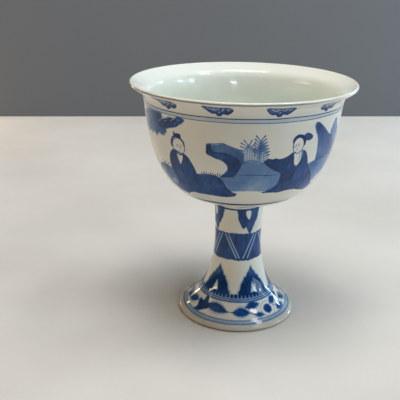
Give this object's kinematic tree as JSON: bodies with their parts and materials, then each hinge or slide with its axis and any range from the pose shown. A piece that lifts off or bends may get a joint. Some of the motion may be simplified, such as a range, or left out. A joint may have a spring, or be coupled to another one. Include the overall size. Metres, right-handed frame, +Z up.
{
  "type": "stem cup",
  "caption": "Porcelain stem cup: a bell-shaped bowl with an everted lip luted to a hollow stem with a spreading foot, glazed over blue painting, for holding a drink.",
  "frame": {"origin": "centre of the ring that the foot stands on, on the supporting surface", "axes": "+Z up along the axis of revolution, X and Y level; the painted front, with the two seated figures, faces -Y"},
  "size_m": [0.0794, 0.0794, 0.088],
  "materials": {
    "porcelain": "unglazed fired porcelain, matt, warm where it is bare",
    "slip": "fired porcelain slip, matt",
    "glaze": "glossy clear glaze, faintly blue-green, over blue underglaze painting"
  },
  "bodies": {
    "root": {"bowl": "porcelain", "luting_slip": "slip", "stem_foot": "porcelain", "bowl_glaze": "glaze", "stem_glaze": "glaze", "bore_glaze": "glaze"}
  },
  "joints": []
}
